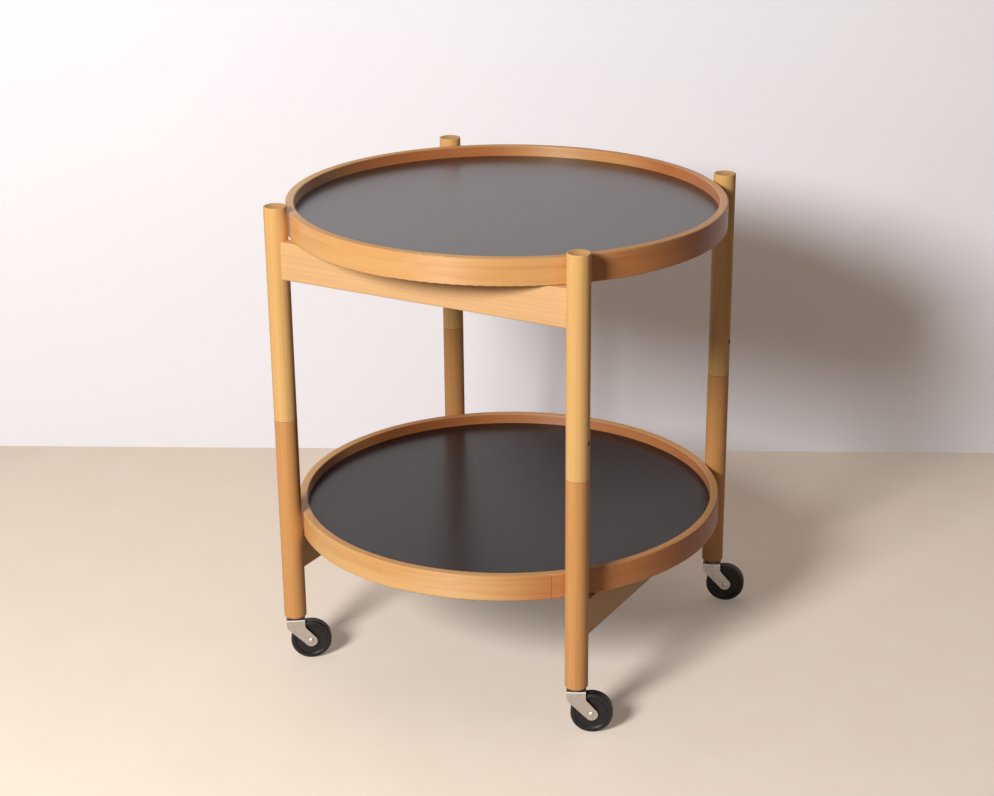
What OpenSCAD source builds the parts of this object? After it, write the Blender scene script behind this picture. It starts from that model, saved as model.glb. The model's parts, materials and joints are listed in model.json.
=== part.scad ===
// Two-tier serving table with round lift-off trays, on four castors.
//
// Each leg is split at half height into two halves that turn on a hidden
// steel pivot. The upper halves are joined in pairs by the front and back
// rails, the lower halves by the left and right rails, so the four ladders
// close up as a parallelogram once both trays are lifted out. The trays drop
// between the legs, rest on the rails and lock the frame square.
//
// Axes: X runs along the front and back rails, Y along the left and right
// rails, Z is up. The origin is on the floor below the middle of the trays.

/* [Trays] */
// Outside diameter of both trays
tray_d = 580; // [520:2:640]
// Height of the bent wooden rim
rim_h = 35; // [26:1:40]
// Thickness of the bent wooden rim
rim_t = 11.5; // [9:0.5:16]
// Rounding of the four long edges of the rim
rim_round = 1.6; // [0.5:0.1:3]
// Thickness of the tray panel
panel_t = 6; // [4:0.5:10]
// Thickness of the tongue round the panel's edge
tongue_t = 4; // [3:0.5:5]
// Depth of the groove in the rim that holds the tongue
groove_d = 4; // [2:0.5:6]
// Gap between a tray's rim and each leg
tray_gap = 1.5; // [1:0.1:4]
// Clearance between a seated tray and the rails below it
tray_rest = 0.3; // [0.2:0.05:0.6]

/* [Legs] */
// Diameter of the round legs
leg_d = 30; // [26:1:38]
// Length of a leg from the castor's flange to the top, both halves together
leg_l = 578; // [540:2:640]
// How far the legs stand above the upper tray's rim
leg_above_rim = 9; // [4:0.5:16]
// Height of the lower tray's underside above the foot of the legs
lower_tray_lift = 119; // [110:0.5:160]
// Rounding of the edge round the leg's top
leg_top_round = 1.2; // [0.8:0.1:2]
// Radius of the shallow dish turned into the leg's top
dish_r = 12.6; // [8:0.1:13]
// Depth of that dish at its middle
dish_depth = 3.2; // [0.8:0.1:4]
// Rounding of the edge round the leg's foot
leg_foot_round = 2.6; // [1:0.1:3.5]
// Gap that shows between the two halves of a leg
seam_gap = 0.3; // [0.3:0.05:0.6]
// Small bevel on both edges of that joint
seam_bevel = 0.3; // [0.2:0.1:1.2]

/* [Rails] */
// Height of the four rails
rail_h = 50; // [40:1:60]
// Thickness of the four rails
rail_t = 18; // [14:1:20]
// Rounding of the rails' long edges
rail_round = 2; // [0.5:0.5:4]
// Thickness of the tenons
tenon_t = 9; // [6:0.5:10]
// Height of the tenons
tenon_h = 36; // [28:1:38]
// Length of a tenon inside the leg
tenon_l = 20; // [12:1:21]
// Free space at the end of a tenon
tenon_end = 0.6; // [0.2:0.1:1]

/* [Leg pivots] */
// Diameter of the steel pivot inside each leg
pivot_d = 12; // [8:0.5:14]
// Length of the pivot in each half of the leg
pivot_reach = 60; // [50:1:90]
// Free space at each end of the pivot's bores
pivot_end = 1; // [0.5:0.5:3]
// Thickness of the washer between the halves
washer_t = 0.8; // [0.6:0.1:2]
// Diameter of that washer
washer_d = 24; // [18:1:25]
// Distance of the retaining pin below the pivot's upper end
pin_below_end = 11; // [8:1:18]
// Diameter of the retaining pin's shank
pin_d = 4; // [3:0.5:5]
// Diameter of the retaining pin's head
pin_head_d = 6.4; // [6:0.2:8]
// Height of the retaining pin's head
pin_head_h = 1.7; // [1.2:0.1:2.4]
// Depth of the head's seat where the leg is lowest beside it
pin_head_sink = 0.2; // [0.1:0.05:0.5]
// Depth of the ring groove in the pivot that the retaining pin rides in
pivot_groove = 2.2; // [1.5:0.1:2.5]

/* [Castors] */
// Height from the floor to the foot of the legs
castor_h = 63; // [61:1:72]
// Outside diameter of the wheel
wheel_d = 55; // [50:1:57]
// Width of the tyre
tyre_w = 16; // [13:0.5:17]
// Thickness of the tyre
tyre_t = 4; // [3.5:0.5:6]
// Rounding of the tyre's shoulders
tyre_round = 3; // [1:0.5:4]
// Width of the wheel's hub
hub_w = 17; // [17:0.5:20]
// Diameter of the wheel's hub
hub_d = 17; // [14:1:20]
// Width of the wheel's web between hub and tyre
web_w = 12; // [7:1:13]
// Width of the wheel's flange under the tyre
felloe_w = 15; // [12:0.5:16]
// Thickness of the wheel's flange under the tyre
felloe_t = 1.5; // [1:0.5:4]
// Slope from that flange down to the web, along the wheel's radius
felloe_slope = 1.6; // [1:0.1:3]
// Horizontal distance from the swivel axis to the wheel's axle
trail = 20; // [17:1:24]
// Thickness of the fork's sheet steel
fork_t = 2; // [1.5:0.25:2.5]
// Length of the fork's flat top
fork_top_l = 25; // [22:1:30]
// Straight drop of the fork's cheeks behind the swivel axis
rear_drop = 12; // [8:1:15]
// Rounding of the corner below that drop
rear_round = 12; // [2:0.5:13]
// Straight drop of the fork's cheeks before the swivel axis
front_drop = 11.5; // [8:0.5:14]
// Rounding of the hollow corner below that drop
front_round = 7; // [2:0.5:8]
// Radius of the fork's cheeks round the axle
cheek_r = 8.2; // [6.5:0.1:9]
// Bend radius on the outside of the fork's top edges
fork_bend = 3; // [2.6:0.2:4]
// Gap between the wheel's hub and each cheek
hub_gap = 0.5; // [0.3:0.1:1]
// Diameter of the axle rivet
axle_d = 5; // [4:0.5:6]
// Diameter of the axle rivet's heads
axle_head_d = 8; // [7.5:0.5:11]
// Height of the axle rivet's heads
axle_head_h = 1.6; // [1.2:0.1:2.5]
// Diameter of the swivel stem
stem_d = 8; // [7:0.5:9]
// Length of the stem inside the leg
stem_l = 36; // [30:1:42]
// Diameter of the stem's riveted head below the fork
stem_head_d = 13; // [11:0.5:15]
// Height of the stem's riveted head
stem_head_h = 1.4; // [1:0.1:2]
// Diameter of the stem's collar on top of the fork
collar_d = 18; // [14:0.5:22]
// Thickness of that collar
collar_t = 1.4; // [1:0.1:3]
// Diameter of the neck behind the stem's snap ring
stem_neck_d = 6; // [5:0.5:6.5]
// Outside diameter of the socket pressed into the leg
socket_d = 11.5; // [11:0.5:14]
// Diameter of the socket's flange under the leg
flange_d = 20; // [18:0.5:24]
// Thickness of the socket's flange
flange_t = 1.2; // [0.8:0.1:2]
// Gap between the socket's flange and the collar, which the swivel turns in
swivel_gap = 0.4; // [0.3:0.1:1]
// Direction in which each castor trails, from the X axis, in degrees
castor_turn = [34, 25, 20, 30]; // [0:1:359]

/* [Fits] */
// Clearance of pieces that are glued or pressed together, on each side
tight = 0.05; // [0.02:0.01:0.1]
// Clearance of pins and stems that turn in a bore, on each side
running = 0.1; // [0.05:0.01:0.1]
// Clearance of the tray panel in its rim, on each side
panel_fit = 0.1; // [0.05:0.05:0.3]

/* [Hidden] */
$fn = 96;

// The four corners, counted anticlockwise from the front left, seen from above
CORNERS = ["front_left", "front_right", "back_right", "back_left"];
SIDE_X = [-1, 1, 1, -1];
SIDE_Y = [-1, -1, 1, 1];

// Plan: the legs stand just clear of the trays, on a square
tray_r = tray_d / 2;
leg_r = leg_d / 2;
leg_span = (tray_r + tray_gap + leg_r) * sqrt(2);
leg_at = leg_span / 2;

// Heights: legs
half_leg_l = (leg_l - seam_gap) / 2;
foot_z = castor_h;
lower_top_z = foot_z + half_leg_l;
upper_foot_z = lower_top_z + seam_gap;
leg_top_z = foot_z + leg_l;
pin_z = upper_foot_z + pivot_reach - pin_below_end;

// The washer stands in a seat turned into the lower half, 2 * tight thinner
// than the space it has, so that the halves meet at the seam gap
washer_seat = washer_t + 2 * tight - seam_gap;
washer_z = lower_top_z - washer_seat + tight;

// Distance of the pin head's flat seat from the leg's axis
pin_seat_r = sqrt(leg_r * leg_r - pow(pin_head_d / 2 + tight, 2)) - pin_head_sink;

// Heights: trays and rails
upper_tray_z = leg_top_z - leg_above_rim - rim_h;
lower_tray_z = foot_z + lower_tray_lift;
upper_rail_z = upper_tray_z - tray_rest - rail_h;
lower_rail_z = lower_tray_z - tray_rest - rail_h;

// Castor: heights and the inside of the fork
fork_top_z = foot_z - flange_t - swivel_gap - collar_t;
axle_z = wheel_d / 2;
fork_in_w = hub_w + 2 * hub_gap;
fork_w = fork_in_w + 2 * fork_t;
felloe_r = wheel_d / 2 - tyre_t;
hub_round = 0.6;
snap_ring_l = 3;
stem_tip = 1;

// Small common values
pivot_chamfer = 1;
socket_end = 1;
groove_play = 0.3;
arc_overlap = 0.02;
cut = 1;

wood_light = [0.86, 0.67, 0.45];
wood_deep = [0.80, 0.55, 0.32];
wood_pale = [0.87, 0.70, 0.52];
steel = [0.78, 0.79, 0.80];

// ---- Shapes used more than once ----

// Rectangle with its corner at the origin and four rounded corners
module rounded_rect(w, h, r) {
    translate([r, 0]) square([w - 2 * r, h]);
    translate([0, r]) square([w, h - 2 * r]);
    for (x = [r, w - r], y = [r, h - r]) translate([x, y]) circle(r);
}

// Low dome standing on the plane z = 0
module dome(d, h) {
    ball_r = (d * d / 4 + h * h) / (2 * h);
    rotate_extrude()
        intersection() {
            translate([0, h - ball_r]) circle(ball_r);
            square([d / 2, h]);
        }
}

// Puts its children on the axis of a leg
module at_leg(i) {
    translate([SIDE_X[i] * leg_at, SIDE_Y[i] * leg_at, 0]) children();
}

// Puts its children on the axis of a leg, turned as its castor trails
module at_castor(i) {
    at_leg(i) rotate([0, 0, castor_turn[i]]) children();
}

// Puts its children on the axle of a castor, with Z along the axle
module at_axle(i) {
    at_castor(i) translate([trail, 0, axle_z]) rotate([90, 0, 0]) children();
}

// ---- Trays ----

// Bent wooden rim with the groove for the panel's tongue
module tray_rim(z) {
    color(wood_pale)
        translate([0, 0, z])
            rotate_extrude()
                difference() {
                    translate([tray_r - rim_t, 0]) rounded_rect(rim_t, rim_h, rim_round);
                    translate([tray_r - rim_t - cut, (rim_h - tongue_t) / 2 - panel_fit])
                        square([groove_d + cut, tongue_t + 2 * panel_fit]);
                }
}

// Panel at half the rim's height, so that either face can be used. Its edge is
// rebated on both sides, and the tongue between the rebates is in the rim.
module tray_panel(z) {
    face_r = tray_r - rim_t - panel_fit;
    color([0.15, 0.14, 0.14])
        translate([0, 0, z + rim_h / 2]) {
            cylinder(r = face_r, h = panel_t, center = true);
            cylinder(r = face_r + groove_d, h = tongue_t, center = true);
        }
}

// ---- Legs ----

// One rail's tenon, or with a margin the mortise for it. It points along -X
// from the leg's axis, as the leg at the rail's positive end needs it.
module tenon(margin, end_space) {
    near_x = leg_r + cut;
    far_x = leg_r - tenon_l - end_space;
    translate([-near_x, -tenon_t / 2 - margin, (rail_h - tenon_h) / 2 - margin])
        cube([near_x - far_x, tenon_t + 2 * margin, tenon_h + 2 * margin]);
}

// Cut for the retaining pin: its shank's bore and a flat seat for its head
module retaining_pin_bore() {
    rotate([0, 90, 0]) {
        cylinder(d = pin_d + 2 * tight, h = leg_r);
        translate([0, 0, pin_seat_r]) cylinder(d = pin_head_d + 2 * tight, h = leg_r);
    }
}

// Upper half: dished top, mortise for the front or back rail, pivot bore
module upper_leg(i) {
    color(wood_light)
        at_leg(i)
            difference() {
                translate([0, 0, upper_foot_z])
                    rotate_extrude()
                        difference() {
                            square([leg_r, half_leg_l]);
                            edge_bevel(seam_bevel);
                            translate([0, half_leg_l]) mirror([0, 1]) edge_round(leg_top_round);
                            top_dish();
                        }
                translate([0, 0, upper_foot_z - cut])
                    cylinder(d = pivot_d + 2 * running, h = pivot_reach + pivot_end + cut);
                translate([0, 0, upper_rail_z])
                    rotate([0, 0, SIDE_X[i] > 0 ? 0 : 180]) tenon(tight, tenon_end);
                translate([0, 0, pin_z])
                    rotate([0, 0, SIDE_X[i] > 0 ? 0 : 180]) retaining_pin_bore();
            }
}

// Cut for the shallow dish, an arc as deep as dish_depth on the leg's axis
module top_dish() {
    ball_r = (dish_r * dish_r + dish_depth * dish_depth) / (2 * dish_depth);
    translate([0, half_leg_l + ball_r - dish_depth]) circle(ball_r, $fn = 4 * $fn);
}

// Cut that bevels the leg profile's lower outer corner
module edge_bevel(b) {
    polygon([[leg_r - b, 0], [leg_r, b], [leg_r + cut, b], [leg_r + cut, -cut], [leg_r - b, -cut]]);
}

// Cut that rounds the leg profile's lower outer corner
module edge_round(r) {
    difference() {
        translate([leg_r - r, -cut]) square([r + cut, r + cut]);
        translate([leg_r - r, r]) circle(r);
    }
}

// Lower half: rounded foot, mortise for the left or right rail, pivot bore and
// washer seat above and the castor socket's bore below
module lower_leg(i) {
    color(wood_deep)
        at_leg(i)
            difference() {
                translate([0, 0, foot_z])
                    rotate_extrude()
                        difference() {
                            square([leg_r, half_leg_l]);
                            edge_round(leg_foot_round);
                            translate([0, half_leg_l]) mirror([0, 1]) edge_bevel(seam_bevel);
                        }
                translate([0, 0, lower_top_z - pivot_reach - pivot_end])
                    cylinder(d = pivot_d + 2 * tight, h = pivot_reach + pivot_end + cut);
                translate([0, 0, lower_top_z - washer_seat])
                    cylinder(d = washer_d + 2 * running, h = washer_seat + cut);
                translate([0, 0, lower_rail_z])
                    rotate([0, 0, SIDE_Y[i] * 90]) tenon(tight, tenon_end);
                translate([0, 0, foot_z - cut])
                    cylinder(d = socket_d + 2 * tight, h = stem_l + 2 * socket_end + cut);
            }
}

// ---- Rails ----

// Rail along X with a tenon at each end and shoulders hollowed to the legs
module rail() {
    difference() {
        rotate([90, 0, 90])
            translate([-rail_t / 2, 0, -leg_at])
                linear_extrude(leg_span) rounded_rect(rail_t, rail_h, rail_round);
        for (side = [-1, 1])
            translate([side * leg_at, 0, -cut])
                cylinder(r = leg_r + tight, h = rail_h + 2 * cut);
    }
    translate([leg_at, 0, 0]) tenon(0, 0);
    mirror([1, 0, 0]) translate([leg_at, 0, 0]) tenon(0, 0);
}

// Front and back rails join the upper halves
module upper_rail(side) {
    color(wood_pale)
        translate([0, side * leg_at, upper_rail_z]) rail();
}

// Left and right rails join the lower halves
module lower_rail(side) {
    color(wood_light)
        translate([side * leg_at, 0, lower_rail_z]) rotate([0, 0, 90]) rail();
}

// ---- Leg pivots ----

// Steel pivot, fixed in the lower half. The retaining pin rides in its groove.
module pivot_pin(i) {
    pivot_r = pivot_d / 2;
    groove_half = pin_d / 2 + groove_play;
    pivot_l = 2 * pivot_reach + seam_gap;
    groove_at = pivot_l - pin_below_end;
    color(steel)
        at_leg(i)
            translate([0, 0, lower_top_z - pivot_reach])
                rotate_extrude()
                    polygon([
                        [0, 0], [pivot_r - pivot_chamfer, 0], [pivot_r, pivot_chamfer],
                        [pivot_r, groove_at - groove_half],
                        [pivot_r - pivot_groove, groove_at - groove_half],
                        [pivot_r - pivot_groove, groove_at + groove_half],
                        [pivot_r, groove_at + groove_half],
                        [pivot_r, pivot_l - pivot_chamfer],
                        [pivot_r - pivot_chamfer, pivot_l], [0, pivot_l]
                    ]);
}

// Thin washer that the upper half turns on
module pivot_washer(i) {
    color([0.93, 0.92, 0.88])
        at_leg(i)
            translate([0, 0, washer_z])
                difference() {
                    cylinder(d = washer_d, h = washer_t);
                    translate([0, 0, -cut])
                        cylinder(d = pivot_d + 2 * running, h = washer_t + 2 * cut);
                }
}

// Round-headed pin driven into the upper half from its outer side
module retaining_pin(i) {
    tip_r = pivot_d / 2 - pivot_groove + groove_play;
    color(steel)
        at_leg(i)
            translate([0, 0, pin_z])
                rotate([0, SIDE_X[i] * 90, 0]) {
                    translate([0, 0, tip_r]) cylinder(d = pin_d, h = pin_seat_r - tip_r + tight);
                    translate([0, 0, pin_seat_r + tight]) dome(pin_head_d, pin_head_h);
                }
}

// ---- Castors ----

// Steel socket pressed up into the foot, with the flange that the leg sits on
module castor_socket(i) {
    color(steel)
        at_leg(i)
            translate([0, 0, foot_z])
                difference() {
                    union() {
                        cylinder(d = socket_d, h = stem_l + socket_end);
                        translate([0, 0, -flange_t]) cylinder(d = flange_d, h = flange_t);
                    }
                    translate([0, 0, -flange_t - cut])
                        cylinder(d = stem_d + 2 * running, h = stem_l + flange_t + socket_end + 2 * cut);
                }
}

// Swivel stem: riveted head, collar, shank, neck, snap ring and tapered tip
module castor_stem(i) {
    stem_r = stem_d / 2;
    neck_r = stem_neck_d / 2;
    collar_top = -flange_t - swivel_gap;
    collar_foot = collar_top - collar_t;
    base = collar_foot - fork_t;
    color(steel)
        at_castor(i)
            translate([0, 0, foot_z]) {
                rotate_extrude()
                    polygon([
                        [0, base], [stem_r, base],
                        [stem_r, collar_foot], [collar_d / 2, collar_foot],
                        [collar_d / 2, collar_top], [stem_r, collar_top],
                        [stem_r, stem_l - 2 * snap_ring_l - stem_tip],
                        [neck_r, stem_l - 2 * snap_ring_l],
                        [neck_r, stem_l - snap_ring_l - stem_tip],
                        [stem_r, stem_l - snap_ring_l],
                        [stem_r, stem_l - stem_tip],
                        [stem_r - stem_tip, stem_l], [0, stem_l]
                    ]);
                translate([0, 0, base]) mirror([0, 0, 1]) dome(stem_head_d, stem_head_h);
            }
}

// Point where a line from p touches a circle round c, on the given side
function touch_point(p, c, r, side) =
    let (d = c - p, far = norm(d), lean = acos(r / far), back = atan2(-d[1], -d[0]))
    c + r * [cos(back + side * lean), sin(back + side * lean)];

// Centre of the circle that rounds the corner at p, between the edge straight
// above it and the edge towards q
function corner_centre(p, q, r) =
    let (u = (q - p) / norm(q - p), middle = u + [0, 1])
    p + r / sin(acos(u[1]) / 2) * middle / norm(middle);

// Point of the line from p to q that is nearest to c
function nearest_point(p, q, c) =
    let (u = (q - p) / norm(q - p)) p + ((c - p) * u) * u;

// Side view of a cheek: it drops straight from the top, and slants forward
// below the rounded corners to its round end at the axle. The arcs pass the
// straight edges by arc_overlap, so that they cross them cleanly.
module cheek_outline() {
    half_l = fork_top_l / 2;
    axle = [trail, axle_z - fork_top_z];
    rear = [-half_l, -rear_drop];
    front = [half_l, -front_drop];
    rear_touch = touch_point(rear, axle, cheek_r - arc_overlap, 1);
    front_touch = touch_point(front, axle, cheek_r - arc_overlap, -1);
    rear_centre = corner_centre(rear, rear_touch, rear_round);
    front_centre = corner_centre(front, front_touch, front_round);
    difference() {
        union() {
            polygon([
                [-half_l, 0], [-half_l, rear_centre[1]],
                rear_centre, nearest_point(rear, rear_touch, rear_centre),
                rear_touch, axle, front_touch,
                nearest_point(front, front_touch, front_centre),
                [half_l, front_centre[1]], [half_l, 0]
            ]);
            translate(rear_centre) circle(rear_round + arc_overlap);
            translate(axle) circle(cheek_r);
        }
        translate(front_centre) circle(front_round + arc_overlap);
    }
}

// End view of the bent sheet: a channel with rounded outer and inner corners
module channel_outline() {
    drop = fork_top_z - axle_z + cheek_r + cut;
    bend_in = fork_bend - fork_t;
    difference() {
        translate([-fork_w / 2, -drop - fork_bend]) rounded_rect(fork_w, drop + fork_bend, fork_bend);
        translate([-fork_in_w / 2, -drop - fork_bend - fork_t])
            rounded_rect(fork_in_w, drop + fork_bend, bend_in);
    }
}

// Pressed sheet steel fork
module castor_fork(i) {
    color(steel)
        at_castor(i)
            translate([0, 0, fork_top_z])
                difference() {
                    intersection() {
                        rotate([90, 0, 0])
                            linear_extrude(fork_w + 2 * cut, center = true) cheek_outline();
                        rotate([90, 0, 90])
                            linear_extrude(4 * (trail + cheek_r), center = true) channel_outline();
                    }
                    translate([0, 0, -fork_t - cut])
                        cylinder(d = stem_d + 2 * tight, h = fork_t + 2 * cut);
                    translate([trail, 0, axle_z - fork_top_z])
                        rotate([90, 0, 0])
                            cylinder(d = axle_d + 2 * tight, h = fork_w + 2 * cut, center = true);
                }
}

// Axle rivet with a low domed head outside each cheek
module castor_axle(i) {
    color(steel)
        at_axle(i) {
            cylinder(d = axle_d, h = fork_w + 2 * tight, center = true);
            for (side = [0, 1])
                mirror([0, 0, side]) translate([0, 0, fork_w / 2 + tight]) dome(axle_head_d, axle_head_h);
        }
}

// Moulded wheel: hub, dished web and flange under the tyre
module wheel_hub(i) {
    color([0.10, 0.10, 0.11])
        at_axle(i)
            rotate_extrude()
                difference() {
                    union() {
                        translate([0, -hub_w / 2]) rounded_rect(hub_d / 2, hub_w, hub_round);
                        web_and_felloe();
                    }
                    translate([0, -hub_w]) square([axle_d / 2 + running, 2 * hub_w]);
                }
}

// Half section of the web and of the flange round it, with sloped walls between
module web_and_felloe() {
    lip_r = felloe_r - felloe_t;
    web_r = lip_r - felloe_slope;
    polygon([
        [0, -web_w / 2], [web_r, -web_w / 2],
        [lip_r, -felloe_w / 2], [felloe_r, -felloe_w / 2],
        [felloe_r, felloe_w / 2], [lip_r, felloe_w / 2],
        [web_r, web_w / 2], [0, web_w / 2]
    ]);
}

// Tyre moulded round the wheel
module wheel_tyre(i) {
    color([0.16, 0.16, 0.17])
        at_axle(i)
            rotate_extrude()
                translate([felloe_r + tight, -tyre_w / 2])
                    difference() {
                        square([tyre_t - tight, tyre_w]);
                        tyre_shoulder();
                        translate([0, tyre_w]) mirror([0, 1]) tyre_shoulder();
                    }
}

// Cut that rounds one shoulder of the tyre's section
module tyre_shoulder() {
    difference() {
        translate([tyre_t - tight - tyre_round, -cut]) square([tyre_round + cut, tyre_round + cut]);
        translate([tyre_t - tight - tyre_round, tyre_round]) circle(tyre_round);
    }
}

// ---- The assembly ----

for (i = [0 : 3]) {
    upper_leg(i);
    lower_leg(i);
    pivot_pin(i);
    pivot_washer(i);
    retaining_pin(i);
    castor_socket(i);
    castor_stem(i);
    castor_fork(i);
    castor_axle(i);
    wheel_hub(i);
    wheel_tyre(i);
}
upper_rail(-1);  // front_rail
upper_rail(1);  // back_rail
lower_rail(-1);  // left_rail
lower_rail(1);  // right_rail
tray_rim(upper_tray_z);  // upper_tray_rim
tray_panel(upper_tray_z);  // upper_tray_panel
tray_rim(lower_tray_z);  // lower_tray_rim
tray_panel(lower_tray_z);  // lower_tray_panel
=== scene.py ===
# %% [markdown]
# # A folding room service table in beech
#
# Two round trays lie on four crossed rails between four split legs on castors. The shapes come
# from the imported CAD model. This lesson gives them a photographer's corner, lamps, and above all
# wood, laminate, plated steel and rubber that stand up to a close look.

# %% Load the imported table
import json
import math

import bmesh
import bpy
from mathutils import Matrix, Vector


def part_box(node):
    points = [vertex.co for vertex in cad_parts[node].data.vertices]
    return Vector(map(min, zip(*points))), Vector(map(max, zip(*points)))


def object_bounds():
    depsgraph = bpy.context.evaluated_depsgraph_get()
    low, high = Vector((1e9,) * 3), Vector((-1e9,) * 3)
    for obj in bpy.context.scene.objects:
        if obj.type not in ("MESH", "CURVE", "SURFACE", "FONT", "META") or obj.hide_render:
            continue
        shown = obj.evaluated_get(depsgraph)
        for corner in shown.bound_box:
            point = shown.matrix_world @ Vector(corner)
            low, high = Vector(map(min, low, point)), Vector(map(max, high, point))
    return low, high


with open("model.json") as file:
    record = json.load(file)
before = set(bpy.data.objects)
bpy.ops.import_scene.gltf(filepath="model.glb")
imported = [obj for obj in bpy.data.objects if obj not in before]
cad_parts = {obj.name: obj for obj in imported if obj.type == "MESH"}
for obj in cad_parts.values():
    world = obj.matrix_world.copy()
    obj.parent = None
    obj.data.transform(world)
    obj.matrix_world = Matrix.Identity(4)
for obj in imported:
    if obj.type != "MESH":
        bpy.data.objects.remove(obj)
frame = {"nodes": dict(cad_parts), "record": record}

MM = 0.001
CORNERS = ("front_left", "front_right", "back_right", "back_left")
cad_low, cad_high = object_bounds()
table_centre = (cad_low + cad_high) / 2
print("CAD box in mm:", [round(side / MM, 1) for side in cad_high - cad_low])

# %% [markdown]
# ## The camera
#
# A picture's perspective is fixed by where the camera stood. This place, aim and lens were worked
# out from the ellipses of the two trays and the four upright legs, so the render can be laid over
# the photograph. The small shift says that the photograph was trimmed off centre.

# %% Place the camera
CAMERA_PLACE = Vector((1.25024, -2.23275, 1.30871))
CAMERA_YAW, CAMERA_PITCH, CAMERA_ROLL = (math.radians(a) for a in (116.116, 21.3466, 0.7248))

level_view = Vector((math.cos(CAMERA_YAW), math.sin(CAMERA_YAW), 0))
level_right = Vector((math.sin(CAMERA_YAW), -math.cos(CAMERA_YAW), 0))
view_axis = level_view * math.cos(CAMERA_PITCH) - Vector((0, 0, math.sin(CAMERA_PITCH)))
view_up = level_right.cross(view_axis)
right_axis = level_right * math.cos(CAMERA_ROLL) + view_up * math.sin(CAMERA_ROLL)
up_axis = view_up * math.cos(CAMERA_ROLL) - level_right * math.sin(CAMERA_ROLL)

camera_data = bpy.data.cameras.new("camera")
camera_data.lens, camera_data.sensor_width = 72.3293, 36.0
camera_data.shift_x, camera_data.shift_y = -0.11498, 0.02697
camera = bpy.data.objects.new("camera", camera_data)
camera.matrix_world = Matrix.Translation(CAMERA_PLACE) @ Matrix(
    (right_axis, up_axis, -view_axis)).transposed().to_4x4()
bpy.context.scene.collection.objects.link(camera)
bpy.context.scene.camera = camera
bpy.context.scene.view_settings.view_transform = "Standard"
print("camera stands", round((CAMERA_PLACE - table_centre).length, 2), "m from the table's middle")

# %% [markdown]
# ## Wiring helpers
#
# Every finish below is a little graph of nodes. A few helpers keep the wiring readable: one makes
# any node and fills its inputs, with a number or with a wire, and the others are short ways to
# write a sum, a smooth step or a mix of two colours. A pattern that several finishes share is
# wired once, as a node group with named inputs and outputs, and each finish gives it its own
# values. The shader itself always stays in the material.

# %% Helpers that make nodes
def feed(tree, socket, value):
    """Fills an input, with a wire if the value is another node's output."""
    if isinstance(value, bpy.types.NodeSocket):
        tree.links.new(value, socket)
    else:
        socket.default_value = value

def node(tree, kind, inputs=None, **settings):
    made = tree.nodes.new("ShaderNode" + kind)
    for setting, value in settings.items():
        setattr(made, setting, value)
    for socket, value in (inputs or {}).items():
        feed(tree, made.inputs[socket], value)
    return made

def sum_of(tree, operation, *values, clamp=False):
    made = node(tree, "Math", dict(enumerate(values)), operation=operation, use_clamp=clamp)
    return made.outputs[0]

def step_up(tree, value, low, high):
    """A smooth step: 0 below low, 1 above high."""
    made = node(tree, "MapRange", {"Value": value, "From Min": low, "From Max": high},
                interpolation_type="SMOOTHSTEP")
    return made.outputs["Result"]

def blend_colour(tree, amount, first, second, how="MIX"):
    made = node(tree, "Mix", {0: amount, 6: first, 7: second}, data_type="RGBA", blend_type=how)
    return made.outputs[2]

def tinted(tree, amount, colour, tint):
    """The colour multiplied by a tint, as far as the amount says."""
    return blend_colour(tree, amount, colour, blend_colour(tree, 1.0, colour, tint, "MULTIPLY"))

# %% Helpers that make node groups
def new_group(name, inputs, outputs):
    """Inputs are (name, kind, value), outputs are (name, kind). Returns tree, inputs, output node."""
    tree = bpy.data.node_groups.new(name, "ShaderNodeTree")
    for label, kind, value in inputs:
        socket = tree.interface.new_socket(name=label, in_out="INPUT",
                                           socket_type="NodeSocket" + kind)
        if value is not None:
            socket.default_value = value
    for label, kind in outputs:
        tree.interface.new_socket(name=label, in_out="OUTPUT", socket_type="NodeSocket" + kind)
    entry = tree.nodes.new("NodeGroupInput")
    return tree, entry.outputs, tree.nodes.new("NodeGroupOutput")

def use_group(tree, group, inputs):
    made = tree.nodes.new("ShaderNodeGroup")
    made.node_tree = group
    for socket, value in inputs.items():
        feed(tree, made.inputs[socket], value)
    return made.outputs

def new_finish(name, **sockets):
    """A material whose Principled BSDF has these plain values. Returns material, tree, shader."""
    material = bpy.data.materials.new(name)
    material.use_nodes = True
    tree = material.node_tree
    shader = tree.nodes["Principled BSDF"]
    for socket, value in sockets.items():
        shader.inputs[socket.replace("_", " ")].default_value = value
    return material, tree, shader

# %% [markdown]
# ## The grain of beech
#
# Beech is a calm, pinkish to golden wood. Its year rings are faint, and what gives it away is the
# fleck: thin upright rays run out from the tree's centre, and each shows as a brown dash a couple
# of millimetres long on one face, and as a narrow line on the end. A flat picture of grain would
# wrap badly round a leg. So the tree itself is made as a solid pattern, with its centre, the pith,
# a few centimetres outside the piece, and the piece is carved out of it, as a joiner would. In it
# X runs along the fibres, and Y and Z are measured from the pith.

# %% Draw a noise out along the fibres
SLOW_STEPS, STREAK_STEPS, FIBRE_STEPS = (2.2, 16.0), (5.0, 260.0), (70.0, 1500.0)

def grain_noise(tree, place, steps, scale=1.0, detail=1.5, roughness=0.5):
    """A noise that changes so many times in a metre along the fibres, and across them."""
    along, across = steps
    drawn = node(tree, "VectorMath", {0: place, 1: (along, across, across)},
                 operation="MULTIPLY").outputs[0]
    return node(tree, "TexNoise", {"Vector": drawn, "Scale": scale, "Detail": detail,
                                   "Roughness": roughness}).outputs[0]

# %% Grow the year rings
RING_SWAY, RING_JITTER, JITTER_GAP = 7 * MM, 2.4 * MM, 9 * MM
LATE_BEGINS, LATE_ENDS, FAINTEST_YEAR = 0.35, 0.9, 0.2

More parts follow.
